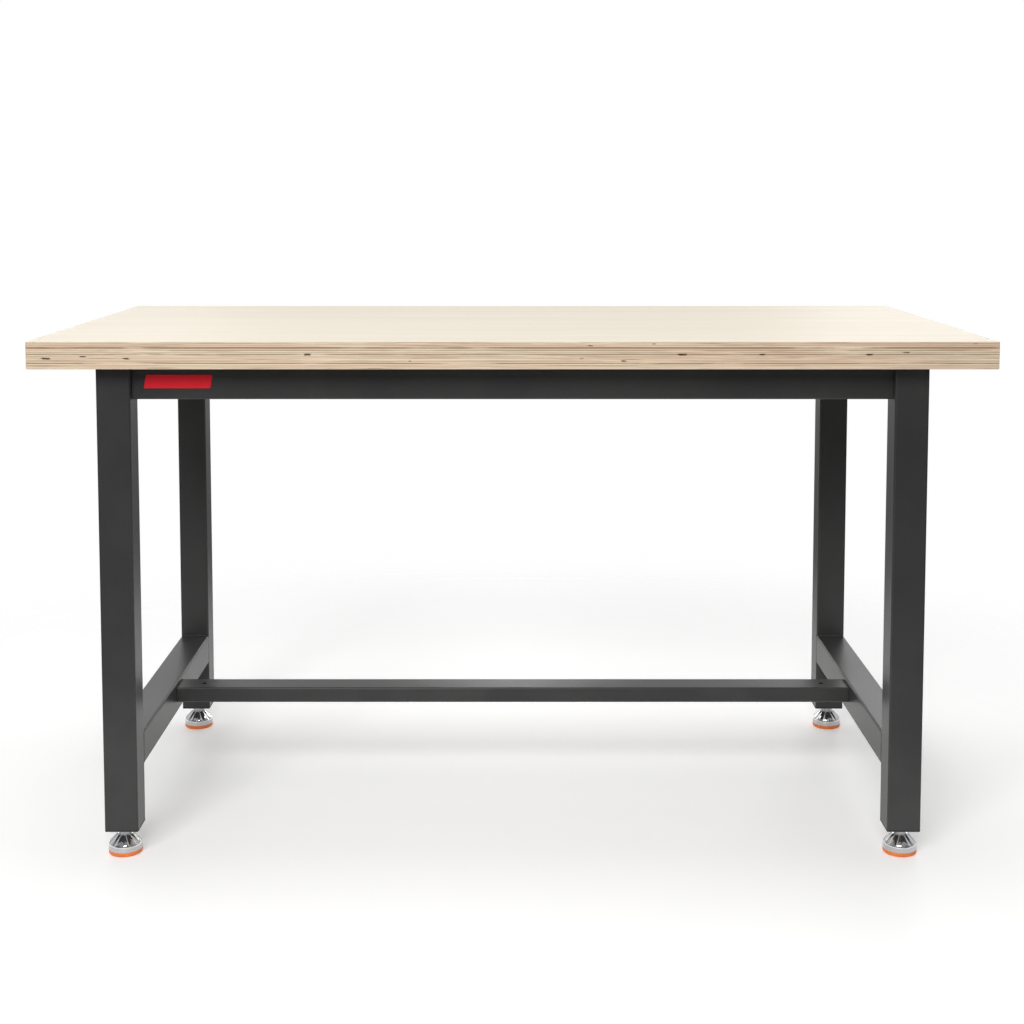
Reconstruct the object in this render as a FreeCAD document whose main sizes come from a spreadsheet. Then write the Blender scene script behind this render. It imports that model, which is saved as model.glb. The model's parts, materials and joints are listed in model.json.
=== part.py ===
import FreeCAD
import Part
import Sketcher
import math
import os
import re

# Workshop bench: plywood worktop on a tube frame with four screw-adjustable feet.
# Millimetres. +Z is up from the floor, -Y is the front, +X is to the right of the user.
# The origin is on the floor, under the middle of the worktop.

SIZES = {
    # worktop
    "bench_height": 780,
    "worktop_length": 1400,
    "worktop_depth": 700,
    "worktop_thick": 40,
    "worktop_edge_break": 1,
    # frame, set in from the edges of the worktop
    "end_overhang": 90,
    "front_overhang": 37.5,
    "leg_width": 50,
    "tube_wall": 2,
    "tube_corner": 3,
    # flat tube of the aprons, the upper side rails and the stretcher
    "flat_tube_wide": 50,
    "flat_tube_thin": 25,
    # lower side rails and the stretcher between them
    "lower_rail_height": 50,
    "lower_rail_level": 127,
    "stretcher_drop": 7,
    "joint_gap": 0.3,
    # tongues inside the ends of the cross tubes, with their bolts, set screws and weld nuts
    "tongue_length": 60,
    "tongue_wall": 3,
    "tongue_corner": 4,
    "tongue_gap": 0.5,
    "bolt_diameter": 8,
    "bolt_hole": 8.5,
    "bolt_inset": 42,
    "bolt_length": 16,
    "bolt_head_flats": 13,
    "bolt_head_height": 5.3,
    "weld_nut_flats": 13,
    "weld_nut_height": 6.5,
    "set_screw_length": 12,
    "set_screw_sink": 0.6,
    "socket_flats": 4,
    "socket_depth": 4,
    "thread_gap": 0.05,
    # wood screws that hold the worktop down
    "screw_diameter": 6,
    "screw_length": 36,
    "screw_hole": 6.6,
    "screw_head": 12,
    "screw_head_height": 4,
    "screw_access": 14,
    "screw_pitch": 400,
    "side_screw_pitch": 250,
    # plastic insert in the end of each leg, with its threaded bush
    "insert_flange": 3,
    "insert_depth": 30,
    "insert_gap": 0.25,
    "insert_wall": 2.5,
    "insert_boss": 26,
    "insert_web": 3,
    "bush_diameter": 16,
    "bush_flange": 22,
    "bush_flange_thick": 2,
    "bush_length": 24,
    "bush_gap": 0.05,
    # levelling stud and its lock nut
    "stud_diameter": 12,
    "stud_length": 60,
    "stud_point": 1.5,
    "collar_flats": 17,
    "collar_height": 5,
    "neck_diameter": 10,
    "neck_gap": 0.05,
    "rivet_diameter": 16,
    "rivet_thick": 3,
    "rivet_play": 0.3,
    "lock_nut_flats": 19,
    "lock_nut_height": 6,
    "nut_chamfer": 0.8,
    # foot: fluted plated cup over a soft sole
    "foot_diameter": 50,
    "cup_height": 22,
    "cup_band": 10,
    "cup_rim": 25,
    "cup_wall": 3.5,
    "cup_shoulder": 8,
    "flute_count": 12,
    "flute_top": 7.2,
    "flute_low": 34,
    "flute_depth": 1.4,
    "sole_height": 7,
    "sole_round": 3,
    "sole_plug": 4,
    "sole_gap": 0.2,
    # how far a cut runs past the face it opens
    "overrun": 1,
}

# Heights above the floor that several pieces share.
CUP_TOP = "(sole_height + cup_height)"
COLLAR_TOP = "(sole_height + cup_height + collar_height)"
INSERT_FOOT = "(sole_height + cup_height + collar_height + lock_nut_height)"
LEG_FOOT = "(sole_height + cup_height + collar_height + lock_nut_height + insert_flange)"
FRAME_TOP = "(bench_height - worktop_thick)"
APRON_MIDDLE = "(bench_height - worktop_thick - flat_tube_wide / 2)"
RAIL_MIDDLE = "(lower_rail_level + lower_rail_height / 2)"
STRETCHER_TOP = "(lower_rail_level + lower_rail_height - stretcher_drop)"
STRETCHER_MIDDLE = "(" + STRETCHER_TOP + " - flat_tube_thin / 2)"

# Centres of the legs, the free lengths between them, and the screws in the ends of the cross tubes.
LEG_X = "(worktop_length / 2 - end_overhang - leg_width / 2)"
LEG_Y = "(worktop_depth / 2 - front_overhang - leg_width / 2)"
SPAN_X = "(worktop_length - 2 * end_overhang - 2 * leg_width)"
SPAN_Y = "(worktop_depth - 2 * front_overhang - 2 * leg_width)"
BOLT_X = "(worktop_length / 2 - end_overhang - leg_width - bolt_inset)"
APRON_INSIDE = "(" + LEG_Y + " - flat_tube_thin / 2)"
NUT_SEAT = "(tube_wall + tongue_gap + tongue_wall)"

# A tongue fills the inside of a flat tube, and an insert the inside of a leg, less a gap all round.
TONGUE_WIDE = "(flat_tube_wide - 2 * tube_wall - 2 * tongue_gap)"
TONGUE_THIN = "(flat_tube_thin - 2 * tube_wall - 2 * tongue_gap)"
INSERT_WIDE = "(leg_width - 2 * tube_wall - 2 * insert_gap)"

# Slope of the cup's cone, and how much longer its side is than its height.
CONE_RUN = "((foot_diameter - cup_rim) / 2)"
CONE_RISE = "(cup_height - cup_band)"
CONE_SLOPE = "(" + CONE_RUN + " / " + CONE_RISE + ")"
CONE_LEAN = "(sqrt(" + CONE_RUN + " ^ 2 + " + CONE_RISE + " ^ 2) / " + CONE_RISE + ")"

CORNERS = {
    "front_left": (-1, -1),
    "front_right": (1, -1),
    "rear_left": (-1, 1),
    "rear_right": (1, 1),
}
SIDES = {"left": -1, "right": 1}
FACES = {"front": -1, "rear": 1}

doc = FreeCAD.newDocument("Workbench")
sheet = doc.addObject("Spreadsheet::Sheet", "Sizes")
for row, (name, value) in enumerate(SIZES.items(), 1):
    sheet.set("A%d" % row, name)
    sheet.set("B%d" % row, str(value))
    sheet.setAlias("B%d" % row, name)
doc.recompute()

subparts = []


def from_sheet(match):
    word = match.group()
    return "Sizes." + word if word in SIZES else word


def follow(thing, prop, words):
    """Binds one property to a sum of size names, which are read from the sheet."""
    thing.setExpression(prop, re.sub(r"[a-z_]+", from_sheet, words))


def place(thing, x="0", y="0", z="0"):
    """Puts a piece at a point given by three sums of size names."""
    for axis, words in zip("xyz", (x, y, z)):
        follow(thing, "Placement.Base." + axis, words)


def side(sign, words):
    """A distance to the right or rear (1), or the same to the left or front (-1)."""
    return words if sign > 0 else "-" + words


def reading(words):
    """A size read back from the sheet, to recognise an edge by."""
    return float(sheet.get(words))


def new_body(label):
    """A separate piece of the bench."""
    body = doc.addObject("PartDesign::Body", label)
    body.Label = label
    subparts.append(body)
    return body


def origin_feature(body, role):
    return next(feature for feature in body.Origin.OriginFeatures if feature.Role == role)


def new_sketch(body, role, name, lift=None):
    """A sketch on one of the body's own planes, lifted along the plane's normal where asked."""
    sketch = body.newObject("Sketcher::SketchObject", body.Label + "_" + name)
    sketch.AttachmentSupport = (origin_feature(body, role), [""])
    sketch.MapMode = "FlatFace"
    if lift:
        follow(sketch, "AttachmentOffset.Base.z", lift)
    return sketch


def dimension(sketch, name, kind, points, words):
    """A named dimension that follows the sheet."""
    number = sketch.addConstraint(Sketcher.Constraint(kind, *points, 1.0))
    sketch.renameConstraint(number, name)
    follow(sketch, "Constraints." + name, words)


def join_lines(sketch, corners):
    """Closed chain of straight lines; returns the number of the first."""
    first = sketch.GeometryCount
    ends = corners[1:] + corners[:1]
    sketch.addGeometry([Part.LineSegment(start, end) for start, end in zip(corners, ends)])
    following = [first + (index + 1) % len(corners) for index in range(len(corners))]
    meets = [Sketcher.Constraint("Coincident", first + index, 2, next_line, 1)
             for index, next_line in enumerate(following)]
    sketch.addConstraint(meets)
    return first


def unit_polygon(count):
    turn = 2 * math.pi / count
    return [FreeCAD.Vector(math.cos(turn * index), math.sin(turn * index), 0) for index in range(count)]


def outline(sketch, points):
    """Closed outline through points that are each given by two sums of size names."""
    first = join_lines(sketch, unit_polygon(len(points)))
    for index, (across, up) in enumerate(points):
        corner = (-1, 1, first + index, 1)
        dimension(sketch, "Across%d" % index, "DistanceX", corner, across)
        dimension(sketch, "Up%d" % index, "DistanceY", corner, up)


def hexagon(sketch, flats):
    """Hexagon round the sketch's origin, with two of its corners on the X axis."""
    flat = flats + " / 2"
    corner = flats + " / 2 / cos(30 deg)"
    upper = [(corner, "0"), (corner + " / 2", flat), ("-" + corner + " / 2", flat)]
    lower = [("-" + corner, "0"), ("-" + corner + " / 2", "-" + flat), (corner + " / 2", "-" + flat)]
    outline(sketch, upper + lower)


def circle(sketch, name, across, up, diameter):
    """Circle at a point given by two sums of size names."""
    number = sketch.addGeometry(Part.Circle(FreeCAD.Vector(1, 1, 0), FreeCAD.Vector(0, 0, 1), 1))
    dimension(sketch, name + "Across", "DistanceX", (-1, 1, number, 3), across)
    dimension(sketch, name + "Up", "DistanceY", (-1, 1, number, 3), up)
    dimension(sketch, name + "Diameter", "Diameter", (number,), diameter)


def rectangle(sketch, name, width, height):
    """Rectangle centred on the sketch's origin."""
    unit = [FreeCAD.Vector(x, y, 0) for x, y in ((-1, -1), (1, -1), (1, 1), (-1, 1))]
    first = join_lines(sketch, unit)
    square = [Sketcher.Constraint(way, first + line)
              for line, way in enumerate(("Horizontal", "Vertical", "Horizontal", "Vertical"))]
    square.append(Sketcher.Constraint("Symmetric", first, 1, first + 2, 1, -1, 1))
    sketch.addConstraint(square)
    dimension(sketch, name + "Width", "DistanceX", (first, 1, first, 2), width)
    dimension(sketch, name + "Height", "DistanceY", (first + 1, 1, first + 1, 2), height)


def round_rectangle(sketch, name, width, height, radius):
    """Rectangle with round corners, centred on the sketch's origin."""
    first = sketch.GeometryCount
    up = FreeCAD.Vector(0, 0, 1)
    quarter = math.pi / 2
    lines_and_arcs = []
    for index in range(4):
        turn = FreeCAD.Rotation(up, math.degrees(quarter * index))
        start = turn.multVec(FreeCAD.Vector(-1, -2, 0))
        end = turn.multVec(FreeCAD.Vector(1, -2, 0))
        corner = Part.Circle(turn.multVec(FreeCAD.Vector(1, -1, 0)), up, 1)
        lines_and_arcs.append(Part.LineSegment(start, end))
        lines_and_arcs.append(Part.ArcOfCircle(corner, quarter * (index - 1), quarter * index))
    sketch.addGeometry(lines_and_arcs)
    shape = [Sketcher.Constraint("Tangent", first + index, 2, first + (index + 1) % 8, 1)
             for index in range(8)]
    shape += [Sketcher.Constraint("Horizontal", first + line) for line in (0, 4)]
    shape += [Sketcher.Constraint("Vertical", first + line) for line in (2, 6)]
    shape += [Sketcher.Constraint("Equal", first + 1, first + arc) for arc in (3, 5, 7)]
    shape.append(Sketcher.Constraint("Symmetric", first + 1, 3, first + 5, 3, -1, 1))
    sketch.addConstraint(shape)
    dimension(sketch, name + "Radius", "Radius", (first + 1,), radius)
    dimension(sketch, name + "Width", "DistanceX", (first + 6, 1, first + 2, 1), width)
    dimension(sketch, name + "Height", "DistanceY", (first, 1, first + 4, 1), height)


def pad(body, sketch, length, midplane=False):
    feature = body.newObject("PartDesign::Pad", sketch.Name + "_pad")
    feature.Profile = sketch
    feature.Midplane = midplane
    follow(feature, "Length", length)
    doc.recompute()


def cut(body, sketch, length=None, forward=False):
    """Cuts a sketch backwards or forwards along its normal; stops the build if nothing is removed."""
    before = body.Shape.Volume
    feature = body.newObject("PartDesign::Pocket", sketch.Name + "_cut")
    feature.Profile = sketch
    feature.Reversed = forward
    if length:
        follow(feature, "Length", length)
    else:
        feature.Type = "ThroughAll"
    doc.recompute()
    if body.Shape.Volume >= before:
        raise RuntimeError(sketch.Name + " removed nothing")


def revolve(body, sketch, kind="Revolution"):
    """Turns a sketch round its vertical axis, as a solid or as a groove."""
    feature = body.newObject("PartDesign::" + kind, sketch.Name + "_turned")
    feature.Profile = sketch
    feature.ReferenceAxis = (sketch, ["V_Axis"])
    feature.Angle = 360
    doc.recompute()


def soften(body, kind, prop, edges, words):
    """Fillets or chamfers some edges of the body."""
    base = body.Tip
    names = ["Edge%d" % number for number, edge in enumerate(base.Shape.Edges, 1) if edges(edge)]
    feature = body.newObject("PartDesign::" + kind, body.Label + "_" + kind.lower())
    feature.Base = (base, names)
    follow(feature, prop, words)
    doc.recompute()


def ring_at(radius, height):
    """A test for the full circle round the Z axis with this radius and height."""
    def matches(edge):
        if edge.Curve.TypeId != "Part::GeomCircle":
            return False
        same_size = math.isclose(edge.Curve.Radius, radius)
        return same_size and math.isclose(edge.Curve.Center.z, height, abs_tol=Part.Precision.confusion())
    return matches


def tube(label, plane, width, height, length, wall="tube_wall", corner="tube_corner"):
    """Hollow section with round corners, drawn on a plane and run out equally to both sides of it."""
    body = new_body(label)
    section = new_sketch(body, plane, "section")
    round_rectangle(section, "Outside", width, height, corner)
    inside = [words + " - 2 * " + wall for words in (width, height)]
    round_rectangle(section, "Inside", *inside, corner + " - " + wall)
    pad(body, section, length, midplane=True)
    return body


def drill(body, plane, name, diameter, places, forward=False):
    """Round holes through one wall of a tube: the wall behind a plane through its middle, or before it."""
    sketch = new_sketch(body, plane, name)
    for number, (across, up) in enumerate(places):
        circle(sketch, "Hole%d" % number, across, up, diameter)
    cut(body, sketch, forward=forward)


def screw_holes(body, places):
    """A close hole in the top wall for each worktop screw, and a wide one below to reach its head."""
    drill(body, "XY_Plane", "screw_holes", "screw_hole", places, forward=True)
    drill(body, "XY_Plane", "access_holes", "screw_access", places)


def chamfer_hexagon(body, flats, low, high):
    """Turns the corners of a hexagon down to a circle as wide as its flats, at both ends."""
    sketch = new_sketch(body, "XZ_Plane", "corner_cut")
    flat = flats + " / 2"
    corner = flats + " / 2 / cos(30 deg)"
    outline(sketch, [(flat, low), (corner, low), (corner, low + " + nut_chamfer")])
    revolve(body, sketch, "Groove")
    sketch = new_sketch(body, "XZ_Plane", "upper_corner_cut")
    outline(sketch, [(flat, high), (corner, high), (corner, high + " - nut_chamfer")])
    revolve(body, sketch, "Groove")


def apron_screw_places():
    """Places of the worktop screws along an apron: a pitch apart, as far as they clear the tongues."""
    span = reading("worktop_length") - 2 * (reading("end_overhang") + reading("leg_width"))
    room = span / 2 - reading("tongue_length") - reading("screw_access")
    count = int(room // reading("screw_pitch"))
    return ["%d * screw_pitch" % number for number in range(-count, count + 1)]


# Worktop screws: along the aprons, and along the upper side rails.
APRON_SCREWS = apron_screw_places()
RAIL_SCREWS = ["-side_screw_pitch / 2", "side_screw_pitch / 2"]


def make_worktop():
    """Plywood board with broken edges and blind pilot holes in its underside."""
    body = new_body("worktop")
    place(body, z=FRAME_TOP)
    sketch = new_sketch(body, "XY_Plane", "board")
    rectangle(sketch, "Board", "worktop_length", "worktop_depth")
    pad(body, sketch, "worktop_thick")
    soften(body, "Chamfer", "Size", lambda edge: True, "worktop_edge_break")
    pilots = new_sketch(body, "XY_Plane", "pilots")
    for number, (x, y) in enumerate(worktop_screw_places()):
        circle(pilots, "Pilot%d" % number, x, y, "screw_diameter + 2 * thread_gap")
    cut(body, pilots, "screw_length - tube_wall + overrun", forward=True)


def worktop_screw_places():
    on_aprons = [(x, side(sign, LEG_Y)) for sign in FACES.values() for x in APRON_SCREWS]
    on_rails = [(side(sign, LEG_X), y) for sign in SIDES.values() for y in RAIL_SCREWS]
    return on_aprons + on_rails


def make_side_frames():
    """Left and right welded frames: two legs with an upper and a lower rail between them."""
    leg_length = FRAME_TOP + " - " + LEG_FOOT
    for corner, (across, along) in CORNERS.items():
        leg = tube(corner + "_leg", "XY_Plane", "leg_width", "leg_width", leg_length)
        place(leg, side(across, LEG_X), side(along, LEG_Y), "(" + FRAME_TOP + " + " + LEG_FOOT + ") / 2")
    for name, sign in SIDES.items():
        upper = tube(name + "_upper_rail", "XZ_Plane", "flat_tube_thin", "flat_tube_wide", SPAN_Y)
        screw_holes(upper, [("0", y) for y in RAIL_SCREWS])
        place(upper, side(sign, LEG_X), "0", APRON_MIDDLE)
        lower = tube(name + "_lower_rail", "XZ_Plane", "leg_width", "lower_rail_height", SPAN_Y)
        place(lower, side(sign, LEG_X), "0", RAIL_MIDDLE)


def make_cross_tubes():
    """Front and rear apron on edge, bolted from inside, and the stretcher laid flat, screwed from above."""
    length = SPAN_X + " - 2 * joint_gap"
    ends = [(side(sign, BOLT_X), "0") for sign in SIDES.values()]
    for name, face in FACES.items():
        apron = tube(name + "_apron", "YZ_Plane", "flat_tube_thin", "flat_tube_wide", length)
        drill(apron, "XZ_Plane", "bolt_holes", "bolt_hole", ends, forward=face > 0)
        screw_holes(apron, [(x, "0") for x in APRON_SCREWS])
        place(apron, "0", side(face, LEG_Y), APRON_MIDDLE)
    stretcher = tube("lower_stretcher", "YZ_Plane", "flat_tube_wide", "flat_tube_thin", length)
    drill(stretcher, "XY_Plane", "set_screw_holes", "bolt_hole", ends, forward=True)
    place(stretcher, z=STRETCHER_MIDDLE)


def tongue(label, sign, across, up, plane, forward):
    """Short tube welded to a side frame, over which the end of a cross tube slides."""
    body = tube(label, "YZ_Plane", across, up, "tongue_length", "tongue_wall", "tongue_corner")
    hole = side(sign, "(tongue_length / 2 - bolt_inset)")
    drill(body, plane, "bolt_hole", "bolt_hole", [(hole, "0")], forward)
    return body


def make_tongues():
    """Four upright tongues for the aprons, and two flat ones for the stretcher."""
    for name, sign in SIDES.items():
        x = side(sign, "(" + SPAN_X + " / 2 - tongue_length / 2)")
        for face_name, face in FACES.items():
            label = face_name + "_" + name + "_apron_tongue"
            upright = tongue(label, sign, TONGUE_THIN, TONGUE_WIDE, "XZ_Plane", face > 0)
            place(upright, x, side(face, LEG_Y), APRON_MIDDLE)
        flat = tongue(name + "_stretcher_tongue", sign, TONGUE_WIDE, TONGUE_THIN, "XY_Plane", True)
        place(flat, x, "0", STRETCHER_MIDDLE)


def cylinder(name, diameter, height, x, y, z):
    rod = doc.addObject("Part::Cylinder", name)
    follow(rod, "Radius", "(" + diameter + ") / 2")
    follow(rod, "Height", height)
    place(rod, x, y, z)
    return rod


def hexagon_bar(name, flats, height, x, y, z):
    bar = doc.addObject("Part::Prism", name)
    bar.Polygon = 6
    follow(bar, "Circumradius", flats + " / 2 / cos(30 deg)")
    follow(bar, "Height", height)
    place(bar, x, y, z)
    return bar


def combine(kind, name, base, tool):
    both = doc.addObject("Part::" + kind, name)
    both.Base = base
    both.Tool = tool
    return both


def hexagon_bolt(name):
    """Bolt along +Z, with the underside of its head at the origin."""
    head = hexagon_bar(name + "_head", "bolt_head_flats", "bolt_head_height", "0", "0", "-bolt_head_height")
    shank = cylinder(name + "_shank", "bolt_diameter", "bolt_length", "0", "0", "0")
    return combine("Fuse", name, head, shank)


def weld_nut(name):
    """Nut along +Z, with its seat at the origin."""
    blank = hexagon_bar(name + "_blank", "weld_nut_flats", "weld_nut_height", "0", "0", "0")
    bore = cylinder(name + "_bore", "bolt_diameter + 2 * thread_gap", "weld_nut_height + 2 * overrun",
                    "0", "0", "-overrun")
    return combine("Cut", name, blank, bore)


def set_screw(name):
    """Headless screw along +Z, with its end at the origin and a hexagon socket in its top."""
    rod = cylinder(name + "_rod", "bolt_diameter", "set_screw_length", "0", "0", "0")
    socket = hexagon_bar(name + "_socket", "socket_flats", "socket_depth + overrun",
                         "0", "0", "set_screw_length - socket_depth")
    return combine("Cut", name, rod, socket)


def point_along(thing, direction):
    """Turns a fastener from +Z to another direction."""
    thing.Placement.Rotation = FreeCAD.Rotation(FreeCAD.Vector(0, 0, 1), direction)


def group(label, pieces):
    """Identical fasteners that share one node, each still a solid of its own."""
    compound = doc.addObject("Part::Compound", label)
    compound.Label = label
    compound.Links = pieces
    subparts.append(compound)


def make_frame_fasteners():
    """Bolts from inside the aprons, set screws in the top of the stretcher, and the nuts in the tongues."""
    bolts, screws, nuts = [], [], []
    for name, sign in SIDES.items():
        x = side(sign, BOLT_X)
        for face_name, face in FACES.items():
            outward = FreeCAD.Vector(0, face, 0)
            bolt = hexagon_bolt(face_name + "_" + name + "_bolt")
            point_along(bolt, outward)
            place(bolt, x, side(face, APRON_INSIDE), APRON_MIDDLE)
            bolts.append(bolt)
            nut = weld_nut(face_name + "_" + name + "_nut")
            point_along(nut, outward)
            place(nut, x, side(face, "(" + APRON_INSIDE + " + " + NUT_SEAT + ")"), APRON_MIDDLE)
            nuts.append(nut)
        screw = set_screw(name + "_set_screw")
        place(screw, x, "0", STRETCHER_TOP + " - set_screw_sink - set_screw_length")
        screws.append(screw)
        nut = weld_nut(name + "_nut")
        place(nut, x, "0", STRETCHER_TOP + " - " + NUT_SEAT + " - weld_nut_height")
        nuts.append(nut)
    group("apron_bolts", bolts)
    group("stretcher_set_screws", screws)
    group("weld_nuts", nuts)


def make_worktop_screws():
    """Wood screws with their heads inside the tubes, under the top walls."""
    screws = []
    seat = FRAME_TOP + " - tube_wall"
    head_foot = seat + " - screw_head_height"
    for number, (x, y) in enumerate(worktop_screw_places()):
        name = "worktop_screw_%d" % number
        head = cylinder(name + "_head", "screw_head", "screw_head_height", x, y, head_foot)
        shank = cylinder(name + "_shank", "screw_diameter", "screw_length", x, y, seat)
        screws.append(combine("Fuse", name, head, shank))
    group("worktop_screws", screws)


def make_insert(label):
    """Plastic plug in the end of a leg: flange, hollow plug, and a webbed boss for the bush."""
    body = new_body(label)
    flange = new_sketch(body, "XY_Plane", "flange")
    round_rectangle(flange, "Flange", "leg_width", "leg_width", "tube_corner")
    pad(body, flange, "insert_flange")
    plug = new_sketch(body, "XY_Plane", "plug", "insert_flange")
    inner = INSERT_WIDE + " - 2 * insert_wall"
    round_rectangle(plug, "Plug", INSERT_WIDE, INSERT_WIDE, "tube_corner - tube_wall")
    rectangle(plug, "Hollow", inner, inner)
    pad(body, plug, "insert_depth")
    boss = new_sketch(body, "XY_Plane", "boss")
    circle(boss, "Boss", "0", "0", "insert_boss")
    pad(body, boss, "insert_flange + insert_depth")
    reach = INSERT_WIDE + " - insert_wall"
    for name, width, depth in (("web_across", reach, "insert_web"), ("web_along", "insert_web", reach)):
        web = new_sketch(body, "XY_Plane", name)
        rectangle(web, "Web", width, depth)
        pad(body, web, "insert_flange + insert_depth")
    bore = new_sketch(body, "XY_Plane", "bore")
    circle(bore, "Bore", "0", "0", "bush_diameter + 2 * bush_gap")
    cut(body, bore, forward=True)
    seat = new_sketch(body, "XY_Plane", "bush_seat")
    circle(seat, "Seat", "0", "0", "bush_flange + 2 * bush_gap")
    cut(body, seat, "bush_flange_thick", forward=True)
    return body


def make_bush(label):
    """Flanged steel bush with the thread that carries the foot; its flange seats under the insert."""
    body = new_body(label)
    profile = new_sketch(body, "XZ_Plane", "profile")
    bore = "stud_diameter / 2 + thread_gap"
    outline(profile, [
        (bore, "0"),
        ("bush_flange / 2", "0"),
        ("bush_flange / 2", "bush_flange_thick"),
        ("bush_diameter / 2", "bush_flange_thick"),
        ("bush_diameter / 2", "bush_length"),
        (bore, "bush_length"),
    ])
    revolve(body, profile)
    return body


def make_stud(label):
    """Threaded stud with a hexagon collar on the cup, and a neck riveted over inside it."""
    body = new_body(label)
    profile = new_sketch(body, "XZ_Plane", "profile")
    rivet_top = CUP_TOP + " - cup_wall - rivet_play"
    stud_top = COLLAR_TOP + " + stud_length"
    outline(profile, [
        ("0", rivet_top + " - rivet_thick"),
        ("rivet_diameter / 2", rivet_top + " - rivet_thick"),
        ("rivet_diameter / 2", rivet_top),
        ("neck_diameter / 2", rivet_top),
        ("neck_diameter / 2", CUP_TOP),
        ("stud_diameter / 2", CUP_TOP),
        ("stud_diameter / 2", stud_top + " - stud_point"),
        ("stud_diameter / 2 - stud_point", stud_top),
        ("0", stud_top),
    ])
    revolve(body, profile)
    collar = new_sketch(body, "XY_Plane", "collar", CUP_TOP)
    hexagon(collar, "collar_flats")
    pad(body, collar, "collar_height")
    chamfer_hexagon(body, "collar_flats", CUP_TOP, COLLAR_TOP)
    return body


def make_lock_nut(label):
    """Hexagon nut that jams the stud against the leg insert."""
    body = new_body(label)
    section = new_sketch(body, "XY_Plane", "section")
    hexagon(section, "lock_nut_flats")
    circle(section, "Bore", "0", "0", "stud_diameter + 2 * thread_gap")
    pad(body, section, "lock_nut_height")
    chamfer_hexagon(body, "lock_nut_flats", "0", "lock_nut_height")
    return body


def make_cup(label):
    """Pressed cup: plain band, fluted cone and flat rim, open below for the sole."""
    body = new_body(label)
    profile = new_sketch(body, "XZ_Plane", "profile")
    shoulder = "sole_height + cup_band"
    hole = "neck_diameter / 2 + neck_gap"
    outline(profile, [
        ("foot_diameter / 2 - cup_wall", "sole_height"),
        ("foot_diameter / 2", "sole_height"),
        ("foot_diameter / 2", shoulder),
        ("cup_rim / 2", CUP_TOP),
        (hole, CUP_TOP),
        (hole, CUP_TOP + " - cup_wall"),
        ("cup_rim / 2 - cup_wall", CUP_TOP + " - cup_wall"),
        ("foot_diameter / 2 - cup_wall", shoulder),
    ])
    revolve(body, profile)
    shoulder_ring = ring_at(reading("foot_diameter") / 2, reading("sole_height") + reading("cup_band"))
    soften(body, "Fillet", "Radius", shoulder_ring, "cup_shoulder")

    # One flute is a tapered cutter that lies along the cone, sunk into it by the flute's depth.
    before = body.Shape.Volume
    low_out = " + (flute_low / 2 - flute_depth) * " + CONE_LEAN
    top_out = " + (flute_top / 2 - flute_depth) * " + CONE_LEAN
    low_x = "(foot_diameter / 2 + cup_band * " + CONE_SLOPE + low_out + ")"
    past_rim = "(overrun + flute_top / 2)"
    top_x = "(cup_rim / 2 - " + past_rim + " * " + CONE_SLOPE + top_out + ")"
    run = "(" + low_x + " - " + top_x + ")"
    rise = "(cup_height + " + past_rim + ")"
    flute = body.newObject("PartDesign::SubtractiveCone", label + "_flute")
    flute.Placement.Rotation = FreeCAD.Rotation(FreeCAD.Vector(0, -1, 0), 90)
    follow(flute, "Radius1", "flute_low / 2")
    follow(flute, "Radius2", "flute_top / 2")
    follow(flute, "Height", "sqrt(" + run + " ^ 2 + " + rise + " ^ 2)")
    follow(flute, "Placement.Rotation.Angle", "atan2(" + run + "; " + rise + ")")
    place(flute, low_x, "0", "sole_height")
    doc.recompute()
    flutes = body.newObject("PartDesign::PolarPattern", label + "_flutes")
    flutes.Originals = [flute]
    flutes.Axis = (origin_feature(body, "Z_Axis"), [""])
    flutes.Angle = 360
    follow(flutes, "Occurrences", "flute_count")
    body.Tip = flutes
    doc.recompute()
    if body.Shape.Volume >= before:
        raise RuntimeError(label + " has no flutes")
    return body


def make_sole(label):
    """Soft sole with a rounded lower edge and a plug that holds it in the cup."""
    body = new_body(label)
    profile = new_sketch(body, "XZ_Plane", "profile")
    plug = "foot_diameter / 2 - cup_wall - sole_gap"
    outline(profile, [
        ("0", "0"),
        ("foot_diameter / 2", "0"),
        ("foot_diameter / 2", "sole_height"),
        (plug, "sole_height"),
        (plug, "sole_height + sole_plug"),
        ("0", "sole_height + sole_plug"),
    ])
    revolve(body, profile)
    soften(body, "Fillet", "Radius", ring_at(reading("foot_diameter") / 2, 0), "sole_round")
    return body


def make_feet():
    """The levelling foot under each leg, with the insert and bush that take its stud."""
    for corner, (across, along) in CORNERS.items():
        x, y = side(across, LEG_X), side(along, LEG_Y)
        place(make_insert(corner + "_leg_insert"), x, y, INSERT_FOOT)
        place(make_bush(corner + "_thread_bush"), x, y, INSERT_FOOT)
        place(make_lock_nut(corner + "_lock_nut"), x, y, COLLAR_TOP)
        place(make_stud(corner + "_levelling_stud"), x, y)
        place(make_cup(corner + "_foot_cup"), x, y)
        place(make_sole(corner + "_foot_sole"), x, y)


make_worktop()
make_side_frames()
make_cross_tubes()
make_tongues()
make_frame_fasteners()
make_worktop_screws()
make_feet()
doc.recompute()

for thing in doc.Objects:
    if "Invalid" in thing.State or "Error" in thing.State:
        raise RuntimeError(thing.Label + " failed: " + ", ".join(thing.State))
for piece in subparts:
    if piece.Shape.isNull() or not piece.Shape.isValid() or not piece.Shape.Solids:
        raise RuntimeError(piece.Label + " has no sound solid")

os.makedirs("parts", exist_ok=True)
for piece in subparts:
    piece.Shape.exportStep("parts/" + piece.Label + ".step")
    print(piece.Label, len(piece.Shape.Solids), "solid", round(piece.Shape.Volume), "mm3")
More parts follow.
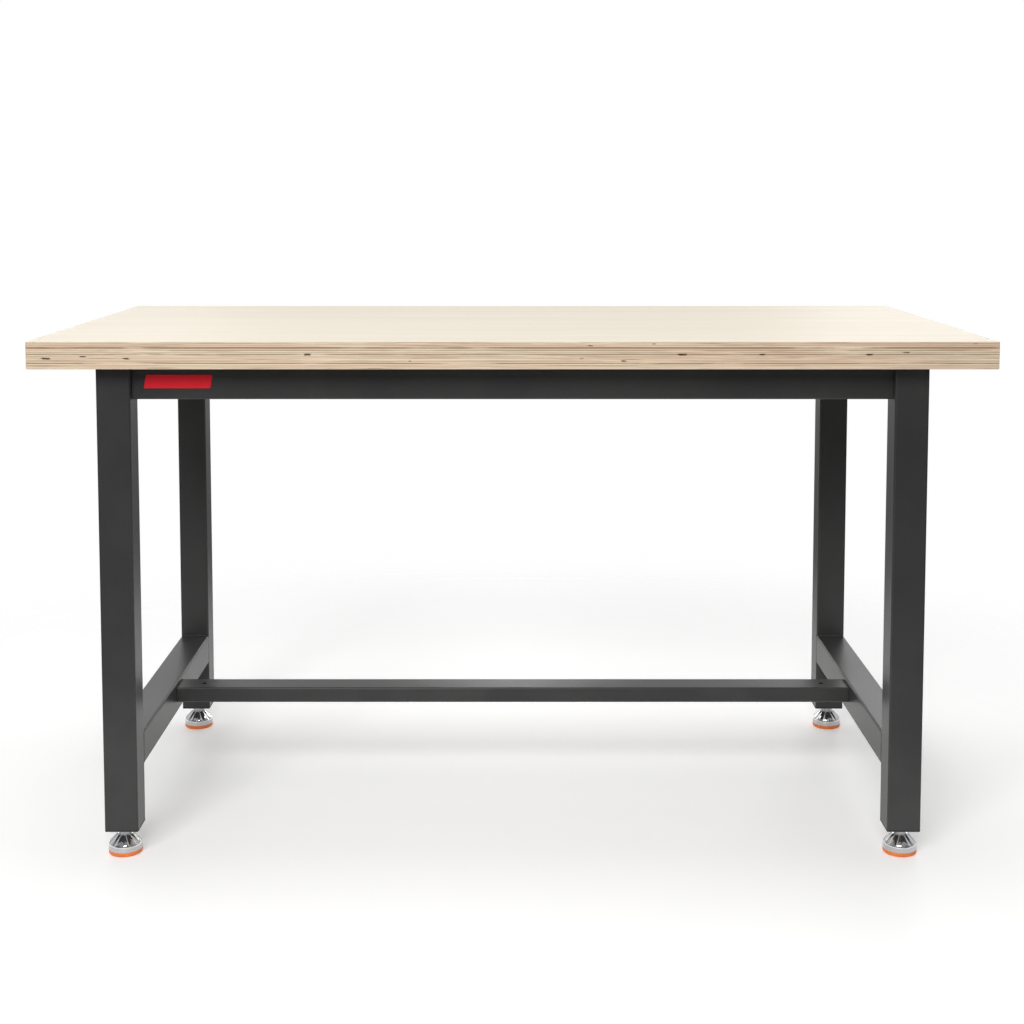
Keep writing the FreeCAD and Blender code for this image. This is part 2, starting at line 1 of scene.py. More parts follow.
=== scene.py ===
# %% [markdown]
# # A workshop bench, dressed for its picture
# The bench is a thick plywood board on a dark steel frame that stands on four levelling feet.
# Its solids come ready made, in metres, with +Z up and the front towards -Y. This lesson adds
# what a drawing lacks: finishes, weld seams, screw threads, a small enamelled plate, a floor,
# lights and a camera. The solids themselves are never moved.

# %% Load the bench
import json
import math

import bmesh
import bpy
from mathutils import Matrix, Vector


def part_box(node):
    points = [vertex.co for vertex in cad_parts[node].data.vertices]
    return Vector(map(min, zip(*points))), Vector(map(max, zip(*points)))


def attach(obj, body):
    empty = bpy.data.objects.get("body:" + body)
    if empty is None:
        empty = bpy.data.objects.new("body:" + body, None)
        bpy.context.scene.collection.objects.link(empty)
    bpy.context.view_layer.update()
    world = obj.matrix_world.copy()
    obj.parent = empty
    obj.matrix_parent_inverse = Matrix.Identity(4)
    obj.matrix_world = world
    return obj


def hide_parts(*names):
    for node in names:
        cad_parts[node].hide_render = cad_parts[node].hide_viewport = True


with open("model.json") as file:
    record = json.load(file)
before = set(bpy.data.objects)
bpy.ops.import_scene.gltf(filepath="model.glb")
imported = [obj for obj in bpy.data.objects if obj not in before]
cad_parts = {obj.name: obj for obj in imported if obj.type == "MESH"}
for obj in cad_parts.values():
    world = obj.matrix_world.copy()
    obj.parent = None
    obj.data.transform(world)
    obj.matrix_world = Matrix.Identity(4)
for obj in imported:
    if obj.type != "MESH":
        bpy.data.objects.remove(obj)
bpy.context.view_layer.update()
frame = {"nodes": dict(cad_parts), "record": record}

nodes = frame["nodes"]

# %% [markdown]
# ## Camera
# The picture looks straight at the front from a little above the board, with a lens that is
# slightly long. A photographer keeps the legs upright with a falling front, which here is the
# camera's vertical shift. Part of that drop is made with a small tilt instead, so that the bench
# also stays in frame when the camera is carried round it with the same shift.

# %% Camera
CAMERA_BACK = 2.669
CAMERA_HEIGHT = 1.002
CAMERA_TILT = 4.61
LENS_MM = 57.04
SHIFT_X = -0.0006
SHIFT_Y = -0.19
lens = bpy.data.cameras.new("camera")
lens.lens = LENS_MM
lens.shift_x = SHIFT_X
lens.shift_y = SHIFT_Y
camera = bpy.data.objects.new("camera", lens)
camera.location = (0, -CAMERA_BACK, CAMERA_HEIGHT)
camera.rotation_euler = (math.radians(90 - CAMERA_TILT), 0, 0)
bpy.context.scene.collection.objects.link(camera)
bpy.context.scene.camera = camera
print("camera stands", CAMERA_BACK, "m back and", CAMERA_HEIGHT, "m up")

# %% [markdown]
# ## Writing finishes as sums
# A finish is a graph of nodes, and a graph is hard to read in a script. One small class wraps a
# node's output, so that ordinary sums such as 1 - mask add the Math nodes by themselves. A second
# class holds a material, and has one method that adds any other node: its settings come first,
# then the values or links of its sockets.

# %% Fields and finishes
class Field:
    """A value that varies over a surface and can be used in sums."""

    def __init__(self, finish, socket):
        self.finish = finish
        self.socket = socket

    def math(self, operation, *values):
        return self.finish.node("ShaderNodeMath", {"operation": operation}, dict(enumerate(values)))

    def __add__(self, other):
        return self.math("ADD", self, other)

    def __radd__(self, other):
        return self.math("ADD", other, self)

    def __sub__(self, other):
        return self.math("SUBTRACT", self, other)

    def __rsub__(self, other):
        return self.math("SUBTRACT", other, self)

    def __mul__(self, other):
        return self.math("MULTIPLY", self, other)

    def __truediv__(self, other):
        return self.math("DIVIDE", self, other)

    def __gt__(self, other):
        return self.math("GREATER_THAN", self, other)

    def __lt__(self, other):
        return self.math("LESS_THAN", self, other)

    def __abs__(self):
        return self.math("ABSOLUTE", self)

    def floor(self):
        return self.math("FLOOR", self)

    def fraction(self):
        return self.math("FRACT", self)

    def either(self, other):
        return self.math("MAXIMUM", self, other)

    def between(self, low, high):
        """Rises smoothly from 0 at low to 1 at high."""
        limits = {"Value": self, "From Min": low, "From Max": high}
        return self.finish.node("ShaderNodeMapRange", {"interpolation_type": "SMOOTHSTEP"}, limits)


class Finish:
    """A material whose nodes are added in sums and in calls of one method."""

    # Sockets of the Mix node when it mixes colours.
    FIRST_COLOUR = 6
    SECOND_COLOUR = 7
    MIXED_COLOUR = 2

    def __init__(self, name):
        self.material = bpy.data.materials.new(name)
        self.material.use_nodes = True
        self.tree = self.material.node_tree
        self.shader = self.tree.nodes["Principled BSDF"]
        self.place = self.node("ShaderNodeTexCoord", output="Object")

    def node(self, kind, settings=None, inputs=None, output=0):
        made = self.tree.nodes.new(kind)
        for name, value in (settings or {}).items():
            setattr(made, name, value)
        self.fill(made, inputs or {})
        return Field(self, made.outputs[output])

    def fill(self, node, inputs):
        for name, value in inputs.items():
            if isinstance(value, Field):
                self.tree.links.new(value.socket, node.inputs[name])
            else:
                node.inputs[name].default_value = value

    def surface(self, **inputs):
        """Sets the shader's own sockets; Base_Color stands for the socket Base Color."""
        self.fill(self.shader, {name.replace("_", " "): value for name, value in inputs.items()})

    def parts(self, vector):
        """The three numbers of a vector."""
        apart = self.node("ShaderNodeSeparateXYZ", inputs={0: vector}).socket.node
        return [Field(self, output) for output in apart.outputs]

    def vector(self, x=0.0, y=0.0, z=0.0):
        return self.node("ShaderNodeCombineXYZ", inputs={0: x, 1: y, 2: z})

    def cloud(self, place, scale, detail=2.0):
        """Soft noise from 0 to 1; scale is how many features fit in a metre along X, Y and Z."""
        stretched = self.node("ShaderNodeMapping", inputs={"Vector": place, "Scale": scale})
        return self.node("ShaderNodeTexNoise", inputs={"Vector": stretched, "Scale": 1.0, "Detail": detail})

    def mix(self, factor, first, second):
        """Colour that goes from first to second."""
        colours = {0: factor, self.FIRST_COLOUR: first, self.SECOND_COLOUR: second}
        return self.node("ShaderNodeMix", {"data_type": "RGBA"}, colours, output=self.MIXED_COLOUR)

    def bump(self, height, depth):
        """Feeds a height from 0 to 1 into the normal; depth is in metres."""
        inputs = {"Height": height, "Distance": depth, "Strength": 1.0}
        self.surface(Normal=self.node("ShaderNodeBump", inputs=inputs))


def grey(level):
    return (level, level, level, 1.0)


def each_way(features):
    return (features, features, features)


print("finish tools ready")

# %% [markdown]
# ## Plywood
# The board is glued from about thirteen veneers of uneven thickness, whose grain runs along and
# across by turns. Its faces are pale, sanded and sealed, with a faint grain along the board. Its
# sawn edges show every veneer: pale ones that run along the cut, darker ones seen end on, thin glue
# lines that come and go, here and there a dark knot, and gaps painted near black as the shade in
# their voids. An image would give this too, but only for one board. Sums on the place of each point
# give it on all four edges, and the plies stay level round the corners.

# %% Which part of the board a point is on
VENEERS = 13
EDGE_DEPTH = 0.0004
board_low, board_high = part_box("worktop")
plywood = Finish("plywood")
along, across, up = plywood.parts(plywood.place)
past_end = abs(along) > board_high.x - EDGE_DEPTH
past_side = abs(across) > board_high.y - EDGE_DEPTH
sawn = past_end.either(past_side)
print("board from", round(board_low.z, 3), "to", round(board_high.z, 3), "m up")

# %% Faces of the board
CREAM = (0.77, 0.715, 0.61, 1.0)
STRAW = (0.70, 0.63, 0.51, 1.0)
FLECK = (0.52, 0.42, 0.30, 1.0)
FIGURE_SHARE = 0.5
FIBRE_SHARE = 0.35
FLECK_SHARE = 0.3
figure = plywood.cloud(plywood.place, (1.5, 22.0, 1.0), detail=4.0)
fibre = plywood.cloud(plywood.place, (14.0, 700.0, 14.0), detail=3.0)
fleck = plywood.cloud(plywood.place, (55.0, 1300.0, 55.0), detail=1.0).between(0.64, 0.78)
straw_share = figure.between(0.3, 0.75) * FIGURE_SHARE + fibre.between(0.3, 0.8) * FIBRE_SHARE
toned = plywood.mix(straw_share, CREAM, STRAW)
face_colour = plywood.mix(fleck * FLECK_SHARE, toned, FLECK)
print("board faces:", CREAM[:3], "to", STRAW[:3])

# %% Veneers on the sawn edges
# The bends are in veneers: how far a glue line strays from level.
WANDER_BEND = 0.3
KNOT_BEND = 0.6
UNEVEN_BEND = 2.6
NOISE_APART = 0.37
CHANCE_APART = 3.7


def one_of(index, seed):
    """A chance from 0 to 1 that stays the same all over one veneer or seam."""
    number = index * CHANCE_APART + seed
    return plywood.node("ShaderNodeTexWhiteNoise", {"noise_dimensions": "1D"}, {"W": number})


cut_run = along + across
cut_place = plywood.vector(cut_run, 0.0, up)
wander = plywood.cloud(cut_place, (7.0, 1.0, 20.0)) - 0.5
knot = plywood.cloud(cut_place, (6.0, 1.0, 60.0), detail=1.0).between(0.66, 0.80)
uneven_plies = plywood.cloud(plywood.vector(z=up), (1.0, 1.0, 130.0)) - 0.5
ply = (board_high.z - board_low.z) / VENEERS
bend = wander * WANDER_BEND + knot * KNOT_BEND + uneven_plies * UNEVEN_BEND
level = (up - board_low.z) / ply + bend
veneer = level.floor()
seam = (level + 0.5).floor()
end_grain = (level * 0.5).fraction() > 0.5
on_veneer = plywood.vector(cut_run, veneer * NOISE_APART, level)
on_seam = plywood.vector(cut_run, seam * NOISE_APART, 0.0)
zone = plywood.cloud(on_veneer, (4.0, 1.0, 0.2))
pore = plywood.cloud(on_veneer, (260.0, 1.0, 6.0))
streak = plywood.cloud(on_veneer, (10.0, 1.0, 5.0), detail=4.0)
fade = plywood.cloud(on_seam, (6.0, 1.0, 1.0), detail=5.0)
print("sawn edges cut through about", VENEERS, "veneers of about", round(ply * 1000, 2), "mm")

# %% Colours of the sawn edges
BLOND = (0.84, 0.69, 0.505, 1.0)
ROSY = (0.79, 0.585, 0.42, 1.0)
ASH = (0.66, 0.55, 0.42, 1.0)
BROWN = (0.175, 0.09, 0.042, 1.0)
VENEER_SEED = 1.3
SEAM_SEED = 5.1
PORE_SHARE = 0.25
STREAK_SHARE = 0.6
KNOT_SHARE = 0.4
end_tone = end_grain * (0.15 + one_of(veneer, VENEER_SEED) * 0.5)
glue_line = 1 - abs(level - seam).between(0.13, 0.34)
glue_tone = glue_line * (0.15 + one_of(seam, SEAM_SEED) * 0.85) * fade.between(0.36, 0.50)
streak_tone = streak.between(0.58, 0.63) * STREAK_SHARE
plies = plywood.mix(zone.between(0.42, 0.60), BLOND, ROSY)
plies = plywood.mix(end_tone + pore.between(0.4, 0.75) * PORE_SHARE, plies, ASH)
plies = plywood.mix(glue_tone.either(streak_tone).either(knot * KNOT_SHARE), plies, BROWN)
print("edge colours:", BLOND[:3], "to", BROWN[:3])

# %% Gaps in the cut veneers
# Sizes are from a gap's middle: along the edge as a share of its slot, and up and down in veneers.
GAPS_PER_METRE = 26.0
GAP_CHANCE = 0.026
GAP_LENGTH = 0.02
GAP_HEIGHT = 0.18
LENGTH_GROWTH = 5.0
HEIGHT_GROWTH = 9.0
ROW_SHIFT = 0.61
GAP_SHADE = (0.04, 0.02, 0.012, 1.0)
GAP_SHARE = 0.9
GRAIN_DEPTH = 0.00018
slot_place = cut_run * GAPS_PER_METRE + seam * ROW_SHIFT
slot_key = plywood.vector(slot_place.floor(), seam, 0.0)
chance = plywood.node("ShaderNodeTexWhiteNoise", {"noise_dimensions": "3D"}, {"Vector": slot_key})
rare = chance - (1 - GAP_CHANCE)
ragged = (pore - 0.5) * 0.4
within_length = abs(slot_place.fraction() - 0.5) + ragged < GAP_LENGTH + rare * LENGTH_GROWTH
within_height = abs(level - seam) + ragged < GAP_HEIGHT + rare * HEIGHT_GROWTH
gap = (rare > 0.0) * within_length * within_height
# The gaps are painted near black: painted shade deep in the voids between veneers.
edge_colour = plywood.mix(gap * GAP_SHARE, plies, GAP_SHADE)
board_colour = plywood.mix(sawn, face_colour, edge_colour)
plywood.surface(Base_Color=board_colour, IOR=1.33, Specular_IOR_Level=0.22)
plywood.surface(Roughness=0.40 + fibre * 0.16 + sawn * 0.2)
relief = fibre * 0.25 * (1 - sawn) + sawn * (0.6 + pore * 0.3 - glue_line * 0.15 - gap * 0.6)
plywood.bump(relief, GRAIN_DEPTH)
print("edge gaps: about", round(GAPS_PER_METRE * GAP_CHANCE, 1), "a metre in each seam")

# %% [markdown]
# ## Powder coat
# The tubes are sprayed with dry powder and baked. The film is nearly black, satin, and has a fine
# orange-peel skin, so highlights along the rounded corners break up a little. Two sizes of noise
# give the skin and a faint cloudiness, and a light dust gathers low on the legs.

# %% Powder coat
COAT_DARK = grey(0.031)
COAT_LIGHT = grey(0.036)
SPECK_GREY = grey(0.055)
SPECK_SHARE = 0.35
DUST_GREY = (0.09, 0.088, 0.084, 1.0)
DUST_SHARE = 0.16
DUST_FULL = 0.03
DUST_GONE = 0.45
SKIN_DEPTH = 0.00005
coat = Finish("powder_coat")
skin = coat.cloud(coat.place, each_way(750.0), detail=2.0)
cloudy = coat.cloud(coat.place, each_way(9.0), detail=3.0)
height = coat.parts(coat.place)[2]
dust = (1 - height.between(DUST_FULL, DUST_GONE)) * cloudy.between(0.35, 0.7)
coat_colour = coat.mix(cloudy.between(0.3, 0.7), COAT_DARK, COAT_LIGHT)
coat_colour = coat.mix(dust * DUST_SHARE, coat_colour, DUST_GREY)
speck = skin.between(0.62, 0.72)
coat.surface(Base_Color=coat.mix(speck * SPECK_SHARE, coat_colour, SPECK_GREY), IOR=1.40)
coat.surface(Roughness=0.26 + cloudy * 0.10 + skin * 0.10)
coat.bump(skin, SKIN_DEPTH)
print("powder coat:", coat.material.name)

# %% [markdown]
# ## Metals of the feet and screws
# The foot cups are polished and plated, with a satin band above the sole that is also darkened as
# painted shade. The nuts, studs and bolts are bright zinc, which is greyer and has a faint bluish
# bloom. One function makes these: only the tint, and how the roughness is broken up, differ. The set
# screws in the stretcher are blackened and made darker still as painted shade deep in their holes.
# Their skin of oxide is hardly metallic, so it shines less.

# %% Plated and blackened metals, with painted shade
# Below BAND_TOP the chrome is rougher satin, and its colour is mixed towards grey as painted shade.
BAND_TOP = 0.0145
BAND_BLEND = 0.001
BAND_SHADE_GREY = grey(0.42)
BAND_SHADE_SHARE = 0.6
SCRATCH_WIDTH = 0.6
SCRATCH_FINENESS = 22.0
SCRATCH_DEPTH = 0.00002
CHROME_LIGHT = (0.84, 0.85, 0.86, 1.0)
CHROME_DARK = (0.74, 0.75, 0.77, 1.0)
ZINC_LIGHT = (0.73, 0.74, 0.77, 1.0)
ZINC_DARK = (0.56, 0.58, 0.62, 1.0)
# These oxide colours are darker than the oxide itself: painted shade deep in the set screws' holes.
OXIDE_SHADE_LIGHT = grey(0.008)
OXIDE_SHADE_DARK = grey(0.004)


def metal(name, light, dark, smooth, rough, features, satin_shade_below=0.0):
    """A metal whose tint and roughness drift between two values; below a height it is satin, with painted
    shade.
    """
    finish = Finish(name)
    turning = (features * SCRATCH_WIDTH, features * SCRATCH_WIDTH, features * SCRATCH_FINENESS)
    drift = finish.cloud(finish.place, each_way(features), detail=4.0)
    scratch = finish.cloud(finish.place, turning, detail=2.0)
    # Below the given height: rougher satin, and a colour mixed towards grey as painted shade.
    satin_and_shade = 1 - finish.parts(finish.place)[2].between(satin_shade_below - BAND_BLEND, satin_shade_below)
    colour = finish.mix(drift.between(0.3, 0.7), light, dark)
    finish.surface(Base_Color=finish.mix(satin_and_shade * BAND_SHADE_SHARE, colour, BAND_SHADE_GREY), Metallic=1.0)
    worn = scratch.between(0.55, 0.8) * 0.08 + satin_and_shade * 0.16
    finish.surface(Roughness=smooth + drift * (rough - smooth) + worn)
    finish.bump(scratch * 0.6 + drift * 0.4, SCRATCH_DEPTH)
    return finish


chrome = metal("chrome", CHROME_LIGHT, CHROME_DARK, smooth=0.05, rough=0.14, features=160.0,
               satin_shade_below=BAND_TOP)
zinc = metal("zinc_steel", ZINC_LIGHT, ZINC_DARK, smooth=0.26, rough=0.46, features=210.0)
# Blackened steel, made darker still as painted shade deep in the set screws' holes.
blackened_and_shaded = metal("blackened_steel_and_shade", OXIDE_SHADE_LIGHT, OXIDE_SHADE_DARK, smooth=0.55, rough=0.75, features=260.0)
blackened_and_shaded.surface(Metallic=0.1, Specular_IOR_Level=0.05)
print("metals:", chrome.material.name, zinc.material.name, blackened_and_shaded.material.name)

# %% [markdown]
# ## Plastics, sole and enamel
# The leg ends are closed by matt black moulded plugs. Each foot stands on an orange elastomer sole
# with a fine spark-eroded skin that is a little scuffed near the floor. The small plate on the
# apron is satin red enamel under a thin clear coat.

# %% Moulded plastic
PLUG_DARK = grey(0.012)
PLUG_LIGHT = grey(0.022)
MOULD_DEPTH = 0.00005
plastic = Finish("black_plastic")
mould = plastic.cloud(plastic.place, each_way(1600.0), detail=2.0)
flow = plastic.cloud(plastic.place, (60.0, 60.0, 25.0), detail=2.0)
plastic.surface(Base_Color=plastic.mix(flow, PLUG_DARK, PLUG_LIGHT), Roughness=0.48 + mould * 0.18)
plastic.bump(mould, MOULD_DEPTH)
print("plugs:", plastic.material.name)

# %% Orange sole
SOLE_BRIGHT = (0.80, 0.21, 0.04, 1.0)
SOLE_DEEP = (0.72, 0.175, 0.032, 1.0)
SOLE_SCUFFED = (0.34, 0.12, 0.06, 1.0)
SCUFF_SHARE = 0.35
SCUFF_FULL = 0.0005
SCUFF_GONE = 0.0035
GRIT_DEPTH = 0.00006
sole = Finish("orange_sole")
grit = sole.cloud(sole.place, each_way(1300.0), detail=2.0)
blotch = sole.cloud(sole.place, each_way(90.0), detail=3.0)
near_floor = 1 - sole.parts(sole.place)[2].between(SCUFF_FULL, SCUFF_GONE)
scuff = near_floor * blotch.between(0.4, 0.65)
rubber = sole.mix(blotch.between(0.3, 0.7), SOLE_BRIGHT, SOLE_DEEP)
sole.surface(Base_Color=sole.mix(scuff * SCUFF_SHARE, rubber, SOLE_SCUFFED))
sole.surface(Roughness=0.42 + grit * 0.2 + scuff * 0.15)
sole.bump(grit, GRIT_DEPTH)
print("soles:", sole.material.name)

# %% Red enamel
ENAMEL_BRIGHT = (0.78, 0.008, 0.022, 1.0)
ENAMEL_DEEP = (0.70, 0.006, 0.017, 1.0)
PEEL_DEPTH = 0.00003
enamel = Finish("red_enamel")
peel = enamel.cloud(enamel.place, each_way(420.0), detail=1.0)
depth = enamel.cloud(enamel.place, (35.0, 35.0, 70.0), detail=2.0)
enamel.surface(Base_Color=enamel.mix(depth, ENAMEL_BRIGHT, ENAMEL_DEEP), Roughness=0.42 + peel * 0.12)
enamel.surface(Coat_Weight=0.15, Coat_Roughness=0.2, Specular_IOR_Level=0.3)
enamel.bump(peel, PEEL_DEPTH)
print("plate:", enamel.material.name)

# %% [markdown]
# ## Dressing the solids
# The record that comes with the solids says which finish each of them takes, so one loop dresses
# them all, and a solid that is added later needs no line here.

# %% Dress the solids
finishes = {
    "plywood": plywood,
    "powder_coat": coat,
    "zinc_steel": zinc,
    "black_oxide": blackened_and_shaded,
    "black_plastic": plastic,
    "chrome": chrome,
    "orange_sole": sole,
}


def dress(piece, finish):
    piece.data.materials.clear()
    piece.data.materials.append(finish.material)


for solid in frame["record"]["subparts"]:
    dress(nodes[solid["node"]], finishes[solid["material_slot"]])

# %% [markdown]
# ## Recipes for repeated shapes
# Weld ripples and threads repeat one small shape along a path, which is what Geometry Nodes are
# for. A recipe is such a tree with named inputs. It runs on a start mesh, and its result is taken
# off as a plain mesh, so that no live modifier is left on the bench.

# %% Recipe class
class Recipe:
    """A Geometry Nodes tree with named inputs."""

    def __init__(self, name, inputs):
        self.tree = bpy.data.node_groups.new(name, "GeometryNodeTree")
        for label, kind in inputs.items():
            self.tree.interface.new_socket(label, in_out="INPUT", socket_type="NodeSocket" + kind)
        self.tree.interface.new_socket("Geometry", in_out="OUTPUT", socket_type="NodeSocketGeometry")
        self.given = self.tree.nodes.new("NodeGroupInput").outputs

    def step(self, kind, settings=None, inputs=None, output=0):
        """Adds a node: its settings first, then values or links for its sockets."""
        made = self.tree.nodes.new(kind)
        for name, value in (settings or {}).items():
            setattr(made, name, value)
        for name, value in (inputs or {}).items():
            if isinstance(value, bpy.types.NodeSocket):
                self.tree.links.new(value, made.inputs[name])
            else:
                made.inputs[name].default_value = value
        return made.outputs[output]

    def reckon(self, operation, first, second):
        """Adds a sum of two numbers."""
        return self.step("ShaderNodeMath", {"operation": operation}, {0: first, 1: second})

    def serve(self, geometry):
        """Ends the tree: real geometry with the given finish."""
        real = self.step("GeometryNodeRealizeInstances", inputs={"Geometry": geometry})
        coloured = self.step("GeometryNodeSetMaterial",
                             inputs={"Geometry": real, "Material": self.given["Finish"]})
        end = self.tree.nodes.new("NodeGroupOutput")
        self.tree.links.new(coloured, end.inputs["Geometry"])

    def run(self, start, values):
        """Makes the recipe on a start mesh and returns the result as a plain mesh."""
        maker = bpy.data.objects.new("maker", start)
        bpy.context.scene.collection.objects.link(maker)
        modifier = maker.modifiers.new("recipe", "NODES")
        modifier.node_group = self.tree
        for socket in self.tree.interface.items_tree:
            if socket.in_out == "INPUT" and socket.name in values:
                modifier[socket.identifier] = values[socket.name]
        ready = maker.evaluated_get(bpy.context.evaluated_depsgraph_get())
        made = bpy.data.meshes.new_from_object(ready)
        bpy.data.objects.remove(maker)
        return made


def mesh_of(name, shape, finish):
    """Turns a drawn shape into a mesh with one finish."""
    mesh = bpy.data.meshes.new(name)
    shape.to_mesh(mesh)
    shape.free()
    mesh.materials.append(finish.material)
    return mesh


def add_piece(name, mesh, body):
    """Puts a finished mesh on the bench, riding on one of its bodies."""
    mesh.name = name
    piece = bpy.data.objects.new(name, mesh)
    bpy.context.scene.collection.objects.link(piece)
    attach(piece, body)
    return piece


print("recipe tools ready")

# %% [markdown]
# ## Weld seams
# The rails of each side frame are welded between the legs. Every seam is a row of overlapping
# ripples, left by the torch as it steps along, and the coat lies over it. A bent tube with a bump
# texture would look smooth from near by. Flattened balls set close together along the seam give the
# real scalloped edge, and each differs a little in size.

# %% Weld recipe
RIPPLE_OVERLAP = 1.9
RIPPLE_LEAST = 0.86
RIPPLE_MOST = 1.14
welding = Recipe("weld_ripples", {
    "Geometry": "Geometry",
    "Step": "Float",
    "Width": "Float",
    "Seed": "Int",
    "Finish": "Material",
})
bead = welding.given
seam_path = welding.step("GeometryNodeMeshToCurve", inputs={"Mesh": bead["Geometry"]})
stops = welding.step("GeometryNodeResampleCurve", {"mode": "LENGTH"},
                     {"Curve": seam_path, "Length": bead["Step"]})
ball = welding.step("GeometryNodeMeshUVSphere", inputs={"Segments": 8, "Rings": 6, "Radius": 0.5})
heading = welding.step("GeometryNodeInputTangent")
turned = welding.step("FunctionNodeAlignRotationToVector", {"axis": "X"}, {"Vector": heading})
uneven = welding.step("FunctionNodeRandomValue", {"data_type": "FLOAT"},
                      {"Min": RIPPLE_LEAST, "Max": RIPPLE_MOST, "Seed": bead["Seed"]}, output="Value")
long = welding.reckon("MULTIPLY", bead["Step"], RIPPLE_OVERLAP)
wide = welding.reckon("MULTIPLY", bead["Width"], uneven)
ripple_size = welding.step("ShaderNodeCombineXYZ", inputs={0: long, 1: wide, 2: wide})
ripples = welding.step("GeometryNodeInstanceOnPoints",
                       inputs={"Points": stops, "Instance": ball, "Rotation": turned, "Scale": ripple_size})
welding.serve(ripples)
print("weld recipe inputs:", [socket.name for socket in bead if socket.name])

# %% Where the seams run
SEAM_INSET = 0.0035


def line_mesh(name, lines):
    """A mesh of loose edges, one for each pair of points."""
    mesh = bpy.data.meshes.new(name)
    points = [point for line in lines for point in line]
    mesh.from_pydata(points, [(index, index + 1) for index in range(0, len(points), 2)], [])
    return mesh


def seams_round(rail, faces):
    """Straight seams round both ends of a rail: on its two sides, and below or above it as asked."""
    low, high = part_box(rail)
    heights = {"below": low.z, "above": high.z}
    seams = []
    for end in (low.y, high.y):
        for z in [heights[face] for face in faces]:
            seams.append([(low.x + SEAM_INSET, end, z), (high.x - SEAM_INSET, end, z)])
        for x in (low.x, high.x):
            seams.append([(x, end, low.z + SEAM_INSET), (x, end, high.z - SEAM_INSET)])
    return seams


flush_seams = []
corner_seams = []
for side in ("left", "right"):
    corner_seams += seams_round(side + "_upper_rail", ("below",))
    for start, end in seams_round(side + "_lower_rail", ("below", "above")):
        upright = start[0] == end[0]
        row = flush_seams if upright else corner_seams
        row.append([start, end])
print("seams:", len(corner_seams), "in corners and", len(flush_seams), "flush")

# %% Lay the beads
# A lower rail is as wide as the leg, so its side seams fill the groove beside the leg's round corner.
GROOVE_SINK = 0.0016
GROOVE_SHIFT = 0.0006
WELD_STEP = 0.0021
CORNER_BEAD = 0.0046
FLUSH_BEAD = 0.0042
CORNER_SEED = 4
FLUSH_SEED = 9
leg_low, leg_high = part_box("front_right_leg")
leg_middle = (leg_low.x + leg_high.x) / 2


def into_groove(point):
    """Moves a point of a side seam inwards from the rail's face and towards the leg."""
    x, y, z = point
    outward = math.copysign(1, abs(x) - leg_middle) * math.copysign(1, x)
    return (x - outward * GROOVE_SINK, y + math.copysign(GROOVE_SHIFT, y), z)


sunk_seams = [[into_groove(point) for point in line] for line in flush_seams]
for name, lines, width, seed in (
    ("corner_welds", corner_seams, CORNER_BEAD, CORNER_SEED),
    ("flush_welds", sunk_seams, FLUSH_BEAD, FLUSH_SEED),
):
    values = {"Step": WELD_STEP, "Width": width, "Seed": seed, "Finish": coat.material}
    beads = welding.run(line_mesh(name + "_path", lines), values)
    beads.shade_smooth()
    add_piece(name, beads, "frame")
    print(name, "has", len(beads.polygons), "faces")

# %% [markdown]
# ## Threads of the levelling studs
# Each foot hangs on a stud with a standard coarse thread, which shows when the foot is screwed out.
# A plain rod with a striped bump would give itself away at its outline. A spiral with a triangle
# swept along it is the thread as a lathe cuts it, and a rod inside it is the core. The collar and
# the riveted neck keep the shape of the solid, of which a copy is cut off above the collar.

# %% Thread recipe
TOOTH_SIZE = 0.45
CORE_SINK = 0.3
TURN_POINTS = 28
CORE_SIDES = 32
threading = Recipe("stud_thread", {
    "Geometry": "Geometry",
    "Centre": "Vector",
    "Radius": "Float",
    "Pitch": "Float",
    "Length": "Float",
    "Finish": "Material",
})
screw = threading.given
turns = threading.reckon("DIVIDE", screw["Length"], screw["Pitch"])
tooth = threading.reckon("MULTIPLY", screw["Pitch"], TOOTH_SIZE)
path_radius = threading.reckon("SUBTRACT", screw["Radius"], tooth)
sink = threading.reckon("MULTIPLY", tooth, CORE_SINK)
core_radius = threading.reckon("SUBTRACT", path_radius, sink)
spiral = threading.step("GeometryNodeCurveSpiral", inputs={
    "Resolution": TURN_POINTS,
    "Rotations": turns,
    "Start Radius": path_radius,
    "End Radius": path_radius,
    "Height": screw["Length"],
    "Reverse": False,
})
upright_path = threading.step("GeometryNodeSetCurveNormal", {"mode": "Z_UP"}, {"Curve": spiral})
triangle = threading.step("GeometryNodeCurvePrimitiveCircle", inputs={"Resolution": 3, "Radius": tooth})
ridge = threading.step("GeometryNodeCurveToMesh",
                       inputs={"Curve": upright_path, "Profile Curve": triangle, "Fill Caps": True})
rod = threading.step("GeometryNodeMeshCylinder",
                     inputs={"Vertices": CORE_SIDES, "Radius": core_radius, "Depth": screw["Length"]})
half_length = threading.reckon("MULTIPLY", screw["Length"], 0.5)
half_up = threading.step("ShaderNodeCombineXYZ", inputs={2: half_length})
core = threading.step("GeometryNodeTransform", inputs={"Geometry": rod, "Translation": half_up})
both = threading.tree.nodes.new("GeometryNodeJoinGeometry")
threading.tree.links.new(ridge, both.inputs[0])
threading.tree.links.new(core, both.inputs[0])
stood = threading.step("GeometryNodeTransform",
                       inputs={"Geometry": both.outputs[0], "Translation": screw["Centre"]})
threading.serve(stood)
print("thread recipe inputs:", [socket.name for socket in screw if socket.name])

# %% Thread and collar of each stud
PITCH = 0.00175
THREAD_RADIUS = 0.00595
COLLAR_OVERLAP = 0.0001
CLEAR_OF_COLLAR = 0.004
SAME_POINT = 0.000005
CORNERS = ("front_left", "front_right", "rear_left", "rear_right")


